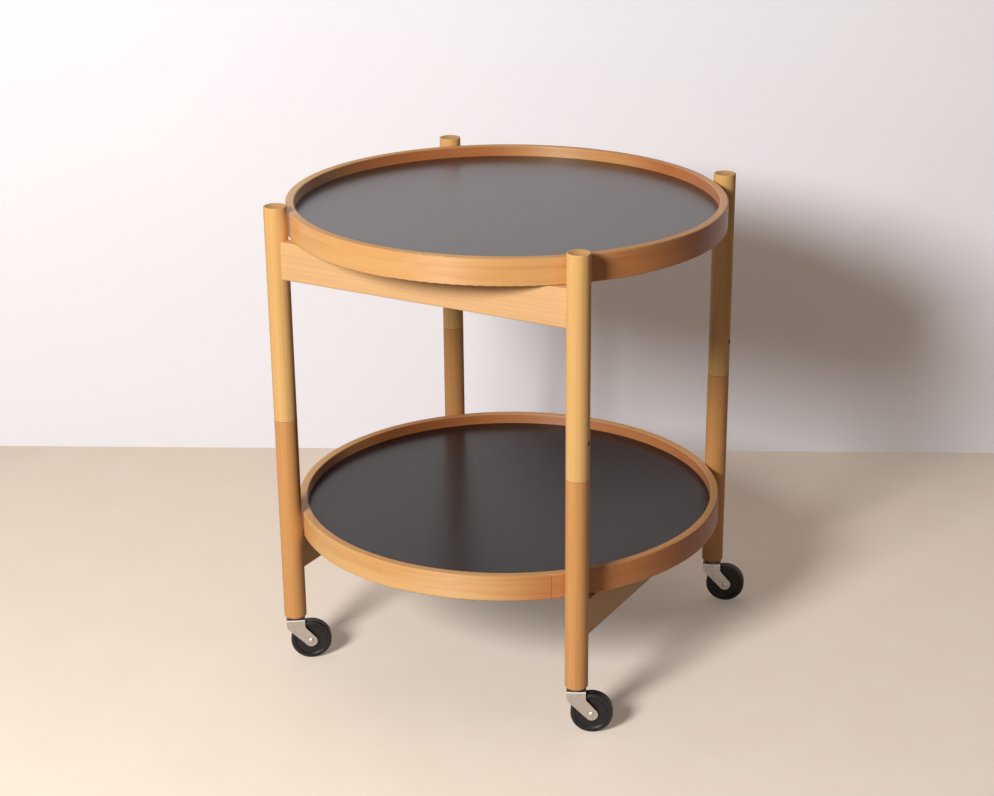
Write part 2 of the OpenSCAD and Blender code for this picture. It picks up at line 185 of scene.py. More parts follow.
def year_rings(tree, place, radius, ring_gap):
    """Rises slowly to each ring's dark late wood and drops after it. Some years are faint."""
    sway = grain_noise(tree, place, SLOW_STEPS, detail=3.0)
    uneven = node(tree, "TexNoise", {"W": sum_of(tree, "DIVIDE", radius, JITTER_GAP),
                                     "Scale": 1.0}, noise_dimensions="1D").outputs[0]
    swayed = sum_of(tree, "MULTIPLY_ADD", sway, RING_SWAY,
                    sum_of(tree, "MULTIPLY_ADD", uneven, RING_JITTER, radius))
    count = sum_of(tree, "DIVIDE", swayed, ring_gap)
    phase = sum_of(tree, "FRACT", count)
    late = sum_of(tree, "MULTIPLY", step_up(tree, phase, LATE_BEGINS, LATE_ENDS),
                  sum_of(tree, "SUBTRACT", 1.0, step_up(tree, phase, LATE_ENDS, 1.0)))
    year = node(tree, "TexWhiteNoise", {"W": sum_of(tree, "FLOOR", count)},
                noise_dimensions="1D").outputs["Value"]
    return sum_of(tree, "MULTIPLY", late, sum_of(
        tree, "MULTIPLY_ADD", year, 1.0 - FAINTEST_YEAR, FAINTEST_YEAR))

# %% Scatter the flecks of the rays
RAY_LENGTH, RAY_DEPTH, RAY_WIDTH = 5 * MM, 6 * MM, 0.7 * MM
FLECK_CORE, FLECK_RIM = 0.14, 0.30
NONE_BELOW, FULL_ABOVE = 0.25, 0.6

def ray_flecks(tree, place, radius, pith_distance):
    """Dashes that stand upright in the tree and run out from its pith, one in each cell."""
    part = node(tree, "SeparateXYZ", {0: place}).outputs
    angle = sum_of(tree, "ARCTAN2", part["Z"], part["Y"])
    arc = sum_of(tree, "MULTIPLY", angle, pith_distance)
    ray_place = node(tree, "CombineXYZ", {
        "X": sum_of(tree, "DIVIDE", part["X"], RAY_LENGTH),
        "Y": sum_of(tree, "DIVIDE", radius, RAY_DEPTH),
        "Z": sum_of(tree, "DIVIDE", arc, RAY_WIDTH)}).outputs[0]
    cell = node(tree, "TexVoronoi", {"Vector": ray_place, "Scale": 1.0}).outputs
    chosen = node(tree, "SeparateXYZ", {0: cell["Color"]}).outputs["X"]
    dash = sum_of(tree, "SUBTRACT", 1.0, step_up(tree, cell["Distance"], FLECK_CORE, FLECK_RIM))
    return sum_of(tree, "MULTIPLY", dash, step_up(tree, chosen, NONE_BELOW, FULL_ABOVE))

# %% Put the solid beech together
STREAK_WEIGHT, FIBRE_WEIGHT, SHADE_OFFSET, PATCH_RANGE = 0.65, 0.3, 0.05, (0.34, 0.66)
FLECK_WEIGHT, FLECK_TINT = 0.22, (0.60, 0.46, 0.36, 1)
BODY_ROUGHNESS, FIBRE_ROUGHNESS, FLECK_ROUGHNESS = 0.44, 0.12, -0.06
FIBRE_HEIGHT, FLECK_HEIGHT = 0.5, 0.4

def build_beech():
    tree, given, out = new_group(
        "beech solid",
        [("Place", "Vector", None), ("Pith Distance", "Float", 70 * MM),
         ("Pale", "Color", (0.8, 0.5, 0.2, 1)), ("Deep", "Color", (0.6, 0.3, 0.1, 1)),
         ("Ring Gap", "Float", 3.2 * MM), ("Ring Strength", "Float", 0.5),
         ("Patch Strength", "Float", 0.5)],
        [("Color", "Color"), ("Roughness", "Float"), ("Height", "Float")])
    place = given["Place"]
    part = node(tree, "SeparateXYZ", {0: place}).outputs
    flat = node(tree, "CombineXYZ", {"Y": part["Y"], "Z": part["Z"]}).outputs[0]
    radius = node(tree, "VectorMath", {0: flat}, operation="LENGTH").outputs["Value"]
    patch = grain_noise(tree, place, SLOW_STEPS, scale=0.45, detail=2.0, roughness=0.6)
    ring = year_rings(tree, place, radius, given["Ring Gap"])
    ray = ray_flecks(tree, place, radius, given["Pith Distance"])
    streak = grain_noise(tree, place, STREAK_STEPS)
    fibre = grain_noise(tree, place, FIBRE_STEPS)

    shade = sum_of(tree, "MULTIPLY_ADD", step_up(tree, patch, *PATCH_RANGE),
                   given["Patch Strength"], sum_of(tree, "MULTIPLY", ring, given["Ring Strength"]))
    for lines, weight in ((streak, STREAK_WEIGHT), (fibre, FIBRE_WEIGHT)):
        shade = sum_of(tree, "MULTIPLY_ADD", sum_of(tree, "SUBTRACT", lines, 0.5), weight, shade)
    wood = blend_colour(tree, sum_of(tree, "ADD", shade, SHADE_OFFSET, clamp=True),
                        given["Pale"], given["Deep"])
    feed(tree, out.inputs["Color"], tinted(
        tree, sum_of(tree, "MULTIPLY", ray, FLECK_WEIGHT), wood, FLECK_TINT))
    feed(tree, out.inputs["Roughness"], sum_of(
        tree, "MULTIPLY_ADD", fibre, FIBRE_ROUGHNESS,
        sum_of(tree, "MULTIPLY_ADD", ray, FLECK_ROUGHNESS, BODY_ROUGHNESS)))
    feed(tree, out.inputs["Height"], sum_of(
        tree, "SUBTRACT", sum_of(tree, "MULTIPLY", fibre, FIBRE_HEIGHT),
        sum_of(tree, "MULTIPLY", ray, FLECK_HEIGHT)))
    return tree

beech_solid = build_beech()
print(beech_solid.name, "has", len(beech_solid.nodes), "nodes")

# %% [markdown]
# ## Handled edges and end grain
#
# Two things happen to lacquered wood where it turns a corner. Hands rub the edge, so it grows a
# little paler and duller. And where the cut crosses the fibres, they drink the lacquer and go
# darker. The first needs a mask of edges: the Bevel node rounds the surface only in its answer, so
# where its direction differs from the true one there is an edge. The second needs the angle
# between the surface and the grain.

# %% Build the edge and end-grain masks
EDGE_BEND, PATCHES_PER_METRE, END_LEAN = (0.01, 0.16), 38.0, (0.55, 0.95)

def build_edge_mask():
    tree, given, out = new_group("rubbed edge", [("Width", "Float", 1.2 * MM),
                                                 ("Place", "Vector", None)], [("Mask", "Float")])
    rounded = node(tree, "Bevel", {"Radius": given["Width"]}, samples=6).outputs[0]
    true = node(tree, "NewGeometry").outputs["Normal"]
    same = node(tree, "VectorMath", {0: rounded, 1: true}, operation="DOT_PRODUCT").outputs["Value"]
    bent = step_up(tree, sum_of(tree, "SUBTRACT", 1.0, same), *EDGE_BEND)
    patchy = node(tree, "TexNoise", {"Vector": given["Place"], "Scale": PATCHES_PER_METRE,
                                     "Detail": 2.0}).outputs[0]
    feed(tree, out.inputs["Mask"], sum_of(tree, "MULTIPLY", bent,
                                          step_up(tree, patchy, 0.3, 0.7)))
    return tree

def build_end_mask():
    tree, given, out = new_group("end grain", [("Grain Axis", "Vector", (0, 0, 1))],
                                 [("Mask", "Float")])
    facing = node(tree, "TexCoord").outputs["Normal"]
    lean = node(tree, "VectorMath", {0: facing, 1: given["Grain Axis"]},
                operation="DOT_PRODUCT").outputs["Value"]
    feed(tree, out.inputs["Mask"], step_up(tree, sum_of(tree, "ABSOLUTE", lean), *END_LEAN))
    return tree

rubbed_edge = build_edge_mask()
end_grain = build_end_mask()
print("masks:", rubbed_edge.name, "and", end_grain.name)

# %% [markdown]
# ## The grain round a bent hoop
#
# A tray's rim is one long strip of beech, steamed, bent into a hoop, and glued to itself where its
# two ends are planed to long wedges. The grain follows the bend. So the place round the hoop is
# measured as an angle, and unrolled to a length. The angle starts at the joint and leans with the
# depth, as the wedges do, and the thin brown glue line shows where the count starts again. The
# depth also tells the inner face, which gets a darker, redder painted shade, and the turn tells
# which stretches of the rim get a painted shade for the side turned away from the lamp.

# %% Build the hoop's unrolling
HOOP_RADIUS = 284.25 * MM
WEDGE_LENGTH, HOOP_THICKNESS = 85 * MM, 11.5 * MM
WEDGE_LEAN = WEDGE_LENGTH / HOOP_THICKNESS / HOOP_RADIUS
HOOP_LENGTH = 2 * math.pi * HOOP_RADIUS
GLUE_REACH = 0.56 * MM
INNER_FACE, INNER_ROUNDING = 0.1 * MM - HOOP_THICKNESS / 2, 0.7 * MM

def build_hoop():
    tree, given, out = new_group(
        "bent hoop", [("Place", "Vector", None), ("Joint Angle", "Float", 0.0),
                      ("Pith Distance", "Float", 70 * MM)],
        [("Place", "Vector"), ("Glue", "Float"), ("Inside", "Float"), ("Turn", "Float")])
    part = node(tree, "SeparateXYZ", {0: given["Place"]}).outputs
    flat = node(tree, "CombineXYZ", {"X": part["X"], "Y": part["Y"]}).outputs[0]
    radius = node(tree, "VectorMath", {0: flat}, operation="LENGTH").outputs["Value"]
    depth = sum_of(tree, "SUBTRACT", radius, HOOP_RADIUS)
    angle = sum_of(tree, "ARCTAN2", part["Y"], part["X"])
    turned = sum_of(tree, "SUBTRACT", angle, given["Joint Angle"])
    leaned = sum_of(tree, "MULTIPLY_ADD", depth, -WEDGE_LEAN, turned)
    turn = sum_of(tree, "FRACT", sum_of(tree, "DIVIDE", leaned, 2 * math.pi))
    run = sum_of(tree, "MULTIPLY", turn, HOOP_LENGTH)
    from_pith = sum_of(tree, "ADD", given["Pith Distance"], depth)
    feed(tree, out.inputs["Place"], node(tree, "CombineXYZ", {
        "X": run, "Y": from_pith, "Z": part["Z"]}).outputs[0])
    from_joint = sum_of(tree, "MINIMUM", run, sum_of(tree, "SUBTRACT", HOOP_LENGTH, run))
    feed(tree, out.inputs["Glue"], sum_of(tree, "LESS_THAN", from_joint, GLUE_REACH))
    feed(tree, out.inputs["Turn"], turn)
    feed(tree, out.inputs["Inside"], sum_of(tree, "SUBTRACT", 1.0, step_up(
        tree, depth, INNER_FACE, INNER_FACE + INNER_ROUNDING)))
    return tree

bent_hoop = build_hoop()
print("hoop unrolls to", round(HOOP_LENGTH, 3), "m")

# %% [markdown]
# ## The sheen of the fibres
#
# Planed wood is a bundle of fine tubes, and satin lacquer doesn't quite fill them. So it shines as
# brushed metal does: the highlight is drawn out across the fibres, a bright bar down a leg and a
# pale patch on a rim that faces between the lamp and the eye. The shader has an anisotropic gloss
# for that, and it has to know which way the fibres run: along a stick, but round a hoop.

# %% Find which way the fibres run
def fibre_direction(tree, where, axis):
    """A straight stick's own axis, or round the hoop for a piece that has none."""
    if axis is None:
        along = node(tree, "VectorMath", {0: (0, 0, 1), 1: where}, operation="CROSS_PRODUCT")
    else:
        along = node(tree, "VectorMath", {0: axis, 1: (0, 0, 0)}, operation="ADD")
    turned = node(tree, "VectorTransform", {"Vector": along.outputs[0]}, vector_type="VECTOR",
                  convert_from="OBJECT", convert_to="WORLD").outputs[0]
    return node(tree, "VectorMath", {0: turned}, operation="NORMALIZE").outputs[0]

# %% [markdown]
# ## The lacquered beech finishes
#
# Each stick came from its own plank, so each has its own pith, its own turn and a tone of its own:
# the upper legs are golden, the lower ones more orange, the rails pale. One function makes them
# all: it takes the solid pattern, darkens the end grain, draws the glue line, pales the handled
# edges, and lays a little clear coat on top for the narrow highlight of the lacquer itself.

# %% Make the finish of a piece of beech
END_WEIGHT, END_TINT = 0.55, (0.66, 0.55, 0.46, 1)
GLUE_WEIGHT, GLUE_BROWN = 0.5, (0.17, 0.08, 0.03, 1)
EDGE_WIDTH, EDGE_WEIGHT, EDGE_PALE, EDGE_DULLER = 1.3 * MM, 0.26, (0.90, 0.70, 0.52, 1), 0.12

def finish_beech(name, place, pith_distance, grain_axis, tone, ring_gap, ring_strength,
                 patch_strength=0.45):
    """A new material. place(tree) gives the place in the tree, the glue line and any painted shade.
    """
    material, tree, shader = new_finish(name, Coat_Weight=0.05, Coat_Roughness=0.22, IOR=1.5,
                                        Anisotropic=0.85, Anisotropic_Rotation=0.25)
    pale, deep = tone
    grain, glue, tints = place(tree)
    where = node(tree, "TexCoord").outputs["Object"]
    feed(tree, shader.inputs["Tangent"], fibre_direction(tree, where, grain_axis))
    wood = use_group(tree, beech_solid, {
        "Place": grain, "Pith Distance": pith_distance, "Pale": (*pale, 1), "Deep": (*deep, 1),
        "Ring Gap": ring_gap, "Ring Strength": ring_strength, "Patch Strength": patch_strength})
    colour = wood["Color"]
    if grain_axis is not None:
        across = use_group(tree, end_grain, {"Grain Axis": grain_axis})["Mask"]
        colour = tinted(tree, sum_of(tree, "MULTIPLY", across, END_WEIGHT), colour, END_TINT)
    if glue is not None:
        colour = blend_colour(tree, sum_of(tree, "MULTIPLY", glue, GLUE_WEIGHT), colour,
                              GLUE_BROWN)
    # The tints are painted shade: a rim's inner face and its side away from the lamp.
    for mask, tint in tints:
        colour = tinted(tree, mask, colour, tint)
    edge = use_group(tree, rubbed_edge, {"Width": EDGE_WIDTH, "Place": where})["Mask"]
    feed(tree, shader.inputs["Base Color"], blend_colour(
        tree, sum_of(tree, "MULTIPLY", edge, EDGE_WEIGHT), colour, EDGE_PALE))
    feed(tree, shader.inputs["Roughness"], sum_of(
        tree, "MULTIPLY_ADD", edge, EDGE_DULLER, wood["Roughness"]))
    feed(tree, shader.inputs["Normal"], node(tree, "Bump", {
        "Strength": 0.35, "Distance": 0.06 * MM, "Height": wood["Height"]}).outputs[0])
    return material

# %% [markdown]
# ## Where each piece lay in the tree
#
# The look of the same tree changes with where its pith lies. Seen square to the pith a rail shows
# quiet straight lines, and turned a little it shows wider ones. A Mapping node of the texture kind
# does the turning: its place is the pith and its X axis is the fibres, so that every piece has a
# board of its own. A hoop goes through its unrolling instead. It also brings two tints of painted
# shade, one for its inner face, and one for the stretches turned away from the lamp, which is
# weaker on the flat top and bottom faces.

# %% Lay a straight stick beside its pith
def centre_of(name):
    low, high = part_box(name)
    return (Vector(low) + Vector(high)) / 2

def stick_place(centre, frame_turn, pith_distance):
    """Puts the pith beside a straight stick. frame_turn turns X along its fibres."""
    pith = centre - frame_turn @ Vector((0, pith_distance, 0))
    def place(tree):
        where = node(tree, "TexCoord").outputs["Object"]
        moved = node(tree, "Mapping", {"Vector": where, "Location": pith,
                                       "Rotation": frame_turn.to_euler("XYZ")},
                     vector_type="TEXTURE")
        return moved.outputs[0], None, ()
    return place

# %% Lay a hoop out along its strip
# Both tints are painted shade, darker and redder: the inner face, and the rim turned from the lamp.
INNER_FACE_PAINTED_SHADE, RIM_PAINTED_SHADE = (0.90, 0.80, 0.80, 1), (0.76, 0.54, 0.48, 1)
PAINTED_SHADE_BLUR, LESS_PAINTED_SHADE_ON_TOPS = 0.03, -0.7

def painted_rim_shade(tree, turn, lit_stretches):
    """Painted shade: 1 away from the lamp, and 0 in the lit stretches of the turn, from 0 to 1."""
    shaded_stretch = 1.0
    for first, last in lit_stretches:
        begun = step_up(tree, turn, first - PAINTED_SHADE_BLUR, first + PAINTED_SHADE_BLUR)
        ended = step_up(tree, turn, last - PAINTED_SHADE_BLUR, last + PAINTED_SHADE_BLUR)
        shaded_stretch = sum_of(tree, "SUBTRACT", shaded_stretch, sum_of(tree, "SUBTRACT", begun, ended))
    flat_edge = use_group(tree, end_grain, {"Grain Axis": (0, 0, 1)})["Mask"]
    return sum_of(tree, "MULTIPLY", shaded_stretch, sum_of(
        tree, "MULTIPLY_ADD", flat_edge, LESS_PAINTED_SHADE_ON_TOPS, 1.0))

def hoop_place(centre, joint_angle, pith_distance, lit_stretches):
    def place(tree):
        where = node(tree, "TexCoord").outputs["Object"]
        moved = node(tree, "Mapping", {"Vector": where, "Location": centre},
                     vector_type="TEXTURE").outputs[0]
        hoop = use_group(tree, bent_hoop, {"Place": moved, "Joint Angle": joint_angle,
                                           "Pith Distance": pith_distance})
        shaded_stretch = painted_rim_shade(tree, hoop["Turn"], lit_stretches)
        return hoop["Place"], hoop["Glue"], ((hoop["Inside"], INNER_FACE_PAINTED_SHADE), (shaded_stretch, RIM_PAINTED_SHADE))
    return place

# %% [markdown]
# ## The eight half legs
#
# Each leg is turned from two sticks that meet at the pivot. They are different sticks, so their
# grain doesn't run through, and the lower halves have darkened to a warmer orange. Every half gets
# its own turn about its axis and its own distance from the pith.

# %% Finish the half legs
LEG_TONES = {"upper": ((0.76, 0.45, 0.163), (0.63, 0.335, 0.105)),
             "lower": ((0.665, 0.325, 0.106), (0.535, 0.242, 0.072))}
LEG_TURNS = {"front_left": 20, "front_right": 75, "back_right": 140, "back_left": 215}
LOWER_TURN, LEG_RING_GAP, LEG_RING_STRENGTH = 105, 3.0 * MM, 0.45
NEAREST_PITH, PITH_SPREAD = 48, 37

def wear(name, finish):
    """Puts the finish in all the material slots of a CAD node."""
    for slot in frame["nodes"][name].material_slots:
        slot.material = finish

upright = Matrix.Rotation(math.radians(-90), 3, "Y")
for corner, turn in LEG_TURNS.items():
    for half, tone in LEG_TONES.items():
        name = f"{half}_leg_{corner}"
        degrees = turn + (LOWER_TURN if half == "lower" else 0)
        turned = Matrix.Rotation(math.radians(degrees), 3, "Z") @ upright
        pith_distance = (NEAREST_PITH + degrees % PITH_SPREAD) * MM
        wear(name, finish_beech(name, stick_place(centre_of(name), turned, pith_distance),
                                pith_distance, (0, 0, 1), tone, LEG_RING_GAP, LEG_RING_STRENGTH))
print("half legs finished:", len(LEG_TURNS) * len(LEG_TONES))

# %% [markdown]
# ## The four rails
#
# The rails are the palest wood, boards on edge that show their broad face. Each is rolled about
# its length by its own angle, as if sawn from another place in the log.

# %% Finish the rails
RAIL_TONE = ((0.74, 0.445, 0.205), (0.58, 0.325, 0.135))
RAIL_TURNS = {"front_rail": (0, 118), "back_rail": (0, 64), "left_rail": (90, 97),
              "right_rail": (90, 31)}
RAIL_PITH, RAIL_RING_GAP, RAIL_RING_STRENGTH = 82 * MM, 2.6 * MM, 0.5

for name, (heading, roll) in RAIL_TURNS.items():
    turned = Matrix.Rotation(math.radians(heading), 3, "Z") @ Matrix.Rotation(
        math.radians(roll), 3, "X")
    grain_axis = (1, 0, 0) if heading == 0 else (0, 1, 0)
    wear(name, finish_beech(name, stick_place(centre_of(name), turned, RAIL_PITH), RAIL_PITH,
                            grain_axis, RAIL_TONE, RAIL_RING_GAP, RAIL_RING_STRENGTH))
print("rails finished:", len(RAIL_TURNS))

# %% [markdown]
# ## The two bent rims
#
# The lower rim's glued joint faces the camera, beside the front leg, and its painted shade runs on
# right after it: darker and redder where the rim turns away from the lamp, outside its lit stretch.
# The upper rim's joint is at the back.

# %% Finish the rims
RIM_TONE = ((0.76, 0.475, 0.190), (0.60, 0.250, 0.066))
# Each rim's listed stretches of the turn are lit; the rest of the rim gets the painted shade.
HOOPS = {"upper_tray_rim": (40, ((0.125, 0.235), (0.40, 0.75))),
         "lower_tray_rim": (-59, ((0.66, 0.975),))}
RIM_PITH, RIM_RING_GAP, RIM_RING_STRENGTH, RIM_PATCHES = 74 * MM, 3.4 * MM, 0.28, 0.75

for name, (joint_angle, lit_stretches) in HOOPS.items():
    place = hoop_place(centre_of(name), math.radians(joint_angle), RIM_PITH, lit_stretches)
    wear(name, finish_beech(name, place, RIM_PITH, None, RIM_TONE, RIM_RING_GAP,
                            RIM_RING_STRENGTH, RIM_PATCHES))
print("rims finished:", len(HOOPS))

# %% [markdown]
# ## The trays' laminate
#
# Each tray's floor is a board faced with black melamine laminate: paper pressed in resin, satin,
# with a very fine orange-peel from the press plate. Its colour is nearly black. What looks grey is
# the pale wall, mirrored softly at a low angle, so the gloss matters more than the colour. The two
# trays wear lit and shaded copies of one laminate: the lower one mirrors less, with a lower
# refraction, as painted shade for the shadow under the upper tray. Years of glasses leave fine
# rubbed scuffs that only dull the surface, and nowhere break it.

# %% Scratch the scuffs
SCUFF_RUNS = ((23, 520.0), (-41, 610.0), (78, 440.0))
SCUFF_ALONG, SCUFF_BENDS, SCUFF_SWING, SCUFF_THIN = 9.0, 9.0, (0.05, 0.05, 0.05), (0.68, 0.78)

def build_scuffs():
    """Thin lines in three directions. Each is a noise squeezed across its run."""
    tree, given, out = new_group("scuffs", [("Place", "Vector", None), ("Scale", "Float", 1.0)],
                                 [("Mask", "Float")])
    bent = node(tree, "TexNoise", {"Vector": given["Place"], "Scale": SCUFF_BENDS, "Detail": 2.0})
    warped = node(tree, "VectorMath", {0: bent.outputs["Color"], 1: SCUFF_SWING,
                                       2: given["Place"]}, operation="MULTIPLY_ADD").outputs[0]
    lines = None
    for degrees, across in SCUFF_RUNS:
        turned = node(tree, "Mapping", {"Vector": warped, "Rotation": (0, 0, math.radians(degrees)),
                                        "Scale": (across, SCUFF_ALONG, SCUFF_ALONG)}).outputs[0]
        streak = node(tree, "TexNoise", {"Vector": turned, "Scale": given["Scale"],
                                         "Detail": 1.0}).outputs[0]
        thin = step_up(tree, streak, *SCUFF_THIN)
        lines = thin if lines is None else sum_of(tree, "MAXIMUM", lines, thin)
    feed(tree, out.inputs["Mask"], lines)
    return tree

scuffs = build_scuffs()
print(scuffs.name, "run in", len(SCUFF_RUNS), "directions")

# %% Press the laminate
LAMINATE_BLACKS = ((0.011, 0.006, 0.008, 1), (0.015, 0.009, 0.012, 1))
SCUFF_WEIGHT, SCUFF_GREY, SCUFF_DULLER = 0.03, (0.12, 0.11, 0.105, 1), 0.01
LAMINATE_ROUGHNESS, CLOUD_DULLER = 0.235, 0.04
# A lit and a shaded copy of the laminate: the lower tray's lower refraction is painted shade.
LIT_AND_SHADED_REFRACTION = {"upper_tray_panel": 1.66, "lower_tray_panel": 1.33}

def finish_laminate(name, refraction):
    material, tree, shader = new_finish(name, IOR=refraction)
    where = node(tree, "TexCoord").outputs["Object"]
    cloud = node(tree, "TexNoise", {"Vector": where, "Scale": 7.0, "Detail": 4.0}).outputs[0]
    peel = node(tree, "TexNoise", {"Vector": where, "Scale": 900.0, "Detail": 2.0}).outputs[0]
    rubbed = use_group(tree, scuffs, {"Place": where})["Mask"]
    feed(tree, shader.inputs["Base Color"], blend_colour(
        tree, sum_of(tree, "MULTIPLY", rubbed, SCUFF_WEIGHT),
        blend_colour(tree, cloud, *LAMINATE_BLACKS), SCUFF_GREY))
    dulled = sum_of(tree, "MULTIPLY_ADD", cloud, CLOUD_DULLER, LAMINATE_ROUGHNESS)
    feed(tree, shader.inputs["Roughness"], sum_of(
        tree, "MULTIPLY_ADD", rubbed, SCUFF_DULLER, dulled))
    feed(tree, shader.inputs["Normal"], node(tree, "Bump", {
        "Strength": 0.06, "Distance": 0.02 * MM, "Height": peel}).outputs[0])
    return material

for name, refraction in LIT_AND_SHADED_REFRACTION.items():
    wear(name, finish_laminate(f"satin black laminate, {name[:5]} tray", refraction))
print("laminated:", ", ".join(LIT_AND_SHADED_REFRACTION))

# %% [markdown]
# ## Plated and drawn steel
#
# The forks are pressed from sheet and zinc plated. Fresh zinc is bright, but it soon goes a dull,
# slightly warm grey with cloudy patches, and stays bright only where it is touched. The pins and
# rivets are drawn steel with a harder shine. The castors' sockets and stems and the small pins in
# the legs are blackened in hot oil, which keeps rust off without a plating. Metal has no colour of
# its own underneath, so the clouds go into the reflection's tint and into the roughness.

# %% Make the metals
CLOUD_RANGE, BRUSH_STRETCH = (0.2, 0.8), 8

def finish_metal(name, bright, dull, low_rough, high_rough, cloud_size, brush):
    """Bright where touched and dull where tarnished, with drawing lines, brush to the metre."""
    material, tree, shader = new_finish(name, Metallic=1.0)
    where = node(tree, "TexCoord").outputs["Object"]
    cloud = node(tree, "TexNoise", {"Vector": where, "Scale": 1 / cloud_size, "Detail": 4.0,
                                    "Roughness": 0.6}).outputs[0]
    cloud = step_up(tree, cloud, *CLOUD_RANGE)
    edge = use_group(tree, rubbed_edge, {"Width": 0.5 * MM, "Place": where})["Mask"]
    tarnish = sum_of(tree, "SUBTRACT", cloud, edge, clamp=True)
    feed(tree, shader.inputs["Base Color"], blend_colour(tree, tarnish, bright, dull))
    feed(tree, shader.inputs["Roughness"], sum_of(
        tree, "MULTIPLY_ADD", tarnish, high_rough - low_rough, low_rough))
    drawn = node(tree, "Mapping", {
        "Vector": where, "Scale": (brush, brush, brush * BRUSH_STRETCH)}).outputs[0]
    lines = node(tree, "TexNoise", {"Vector": drawn, "Scale": 1.0, "Detail": 2.0}).outputs[0]
    feed(tree, shader.inputs["Normal"], node(tree, "Bump", {
        "Strength": 0.2, "Distance": 0.02 * MM, "Height": lines}).outputs[0])
    return material

zinc = finish_metal(
    "dull zinc plate", bright=(0.61, 0.565, 0.52, 1), dull=(0.50, 0.46, 0.42, 1),
    low_rough=0.36, high_rough=0.46, cloud_size=6 * MM, brush=300.0)
steel = finish_metal(
    "drawn steel", bright=(0.66, 0.63, 0.585, 1), dull=(0.48, 0.45, 0.41, 1),
    low_rough=0.20, high_rough=0.34, cloud_size=2 * MM, brush=600.0)
oiled = finish_metal(
    "oil-blackened steel", bright=(0.115, 0.095, 0.085, 1), dull=(0.055, 0.045, 0.04, 1),
    low_rough=0.38, high_rough=0.55, cloud_size=3 * MM, brush=600.0)
print("metals:", ", ".join(metal.name for metal in (zinc, steel, oiled)))

# %% [markdown]
# ## Black wheels and nylon washers
#
# The wheels are moulded black plastic with a slightly softer tyre. Both are nearly the same black,
# but the hub keeps its moulded gloss, while the tyre is dull from rolling and carries floor dust,
# most of all on its tread. Dust is one group, so that anything near the floor can wear it: it lies
# thicker low down and in patches.

# %% Build the floor dust
DUST_SPECKS, DUST_HIGH_UP, DUST_LOW_DOWN = 160.0, 0.3, 0.7

def build_dust():
    tree, given, out = new_group("floor dust", [("Place", "Vector", None), ("Top", "Float", 0.06)],
                                 [("Mask", "Float")])
    height = node(tree, "SeparateXYZ", {0: given["Place"]}).outputs["Z"]
    low = sum_of(tree, "SUBTRACT", 1.0, sum_of(tree, "DIVIDE", height, given["Top"]), clamp=True)
    patchy = node(tree, "TexNoise", {"Vector": given["Place"], "Scale": DUST_SPECKS,
                                     "Detail": 5.0}).outputs[0]
    feed(tree, out.inputs["Mask"], sum_of(
        tree, "MULTIPLY", step_up(tree, patchy, 0.4, 0.75),
        sum_of(tree, "MULTIPLY_ADD", low, DUST_LOW_DOWN, DUST_HIGH_UP)))
    return tree

floor_dust = build_dust()
print(floor_dust.name, "has", len(floor_dust.nodes), "nodes")

# %% Make the moulded finishes
DUST_COLOUR, DUST_DULLER, GRAIN_ROUGHNESS = (0.36, 0.30, 0.24, 1), 0.25, 0.14

def finish_moulded(name, base, roughness, dust_amount, grain_size, depth):
    """A plastic with the fine grain of its mould, so deep, and some floor dust on it."""
    material, tree, shader = new_finish(name, IOR=1.42)
    where = node(tree, "TexCoord").outputs["Object"]
    dust = use_group(tree, floor_dust, {"Place": where})["Mask"]
    fine = node(tree, "TexNoise", {"Vector": where, "Scale": 1 / grain_size,
                                   "Detail": 3.0}).outputs[0]
    feed(tree, shader.inputs["Base Color"], blend_colour(
        tree, sum_of(tree, "MULTIPLY", dust, dust_amount), base, DUST_COLOUR))
    rough = sum_of(tree, "MULTIPLY_ADD", fine, GRAIN_ROUGHNESS, roughness - GRAIN_ROUGHNESS / 2)
    feed(tree, shader.inputs["Roughness"], sum_of(
        tree, "MULTIPLY_ADD", dust, DUST_DULLER, rough))
    feed(tree, shader.inputs["Normal"], node(tree, "Bump", {
        "Strength": 0.25, "Distance": depth, "Height": fine}).outputs[0])
    return material

hub_plastic = finish_moulded(
    "moulded black plastic", (0.011, 0.009, 0.0095, 1), roughness=0.32, dust_amount=0.03,
    grain_size=0.8 * MM, depth=0.02 * MM)
tyre_rubber = finish_moulded(
    "black tyre", (0.013, 0.0105, 0.0105, 1), roughness=0.42, dust_amount=0.07,
    grain_size=0.5 * MM, depth=0.04 * MM)
nylon = finish_moulded(
    "natural nylon", (0.74, 0.70, 0.60, 1), roughness=0.40, dust_amount=0.05,
    grain_size=0.8 * MM, depth=0.02 * MM)
print("moulded:", ", ".join(plastic.name for plastic in (hub_plastic, tyre_rubber, nylon)))

# %% [markdown]
# ## Putting the metals and plastics on
#
# The CAD record says what each piece is made of, so a short list from material to finish dresses
# them all: zinc on the forks, bright steel on axles and pivots, plastic on hubs and tyres, nylon
# on the washers. The blackened pieces are steel in the record too, and are named one by one.

# %% Dress the pivots and the castors
FINISH_OF_SLOT = {"zinc": zinc, "steel": steel, "nylon": nylon, "black_plastic": hub_plastic,
                  "black_rubber": tyre_rubber}
BLACKENED = ("castor_socket", "castor_stem", "retaining_pin")

for subpart in frame["record"]["subparts"]:
    if subpart["material_slot"] in FINISH_OF_SLOT:
        wear(subpart["node"], FINISH_OF_SLOT[subpart["material_slot"]])
for corner in CORNERS:
    for piece in BLACKENED:
        wear(f"{piece}_{corner}", oiled)
print("finished nodes:", len(frame["nodes"]))

